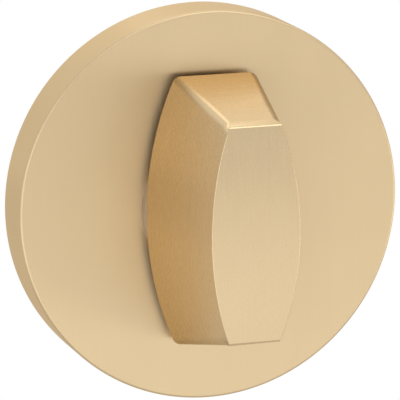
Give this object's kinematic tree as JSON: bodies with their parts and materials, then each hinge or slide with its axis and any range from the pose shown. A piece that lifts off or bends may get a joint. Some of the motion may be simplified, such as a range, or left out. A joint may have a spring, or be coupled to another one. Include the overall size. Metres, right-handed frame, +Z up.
{
  "type": "bathroom thumb turn lock",
  "caption": "Round door rose with a tall faceted thumb turn on a square spindle, for locking a bathroom door from inside by a quarter turn.",
  "frame": {"origin": "centre of the back of the rose, on the turning axis, where it meets the door", "axes": "+Y into the door along the spindle, +Z up with the turn upright, +X to the right as seen from in front"},
  "size_m": [0.052, 0.0804, 0.052],
  "materials": {
    "satin_brass": "fine brushed, lacquered",
    "die_cast_zinc": "as cast",
    "grey_nylon": "moulded",
    "spring_steel": "rolled strip",
    "zinc_plated_steel": "bright zinc plate",
    "turned_steel": "fine turned",
    "blackened_steel": "phosphated and oiled"
  },
  "bodies": {
    "rose": {"rose_cover": "satin_brass", "under_rose": "die_cast_zinc", "neck_bush": "grey_nylon", "cover_clip_1": "spring_steel", "cover_clip_2": "spring_steel", "cover_clip_3": "spring_steel", "cover_clip_4": "spring_steel", "wood_screws": "zinc_plated_steel", "wave_washer": "spring_steel"},
    "turn": {"turn_knob": "satin_brass", "knob_shank": "turned_steel", "thrust_washer": "zinc_plated_steel", "stop_plate": "zinc_plated_steel", "circlip": "blackened_steel", "spindle": "zinc_plated_steel", "spindle_grub_screw": "blackened_steel", "spindle_sleeve": "turned_steel"}
  },
  "joints": [
    {"name": "knob_turn", "type": "hinge", "parent": "rose", "child": "turn", "pos_m": [0, 0, 0], "axis": [0, 1, 0], "range_deg": [0, 90]}
  ]
}
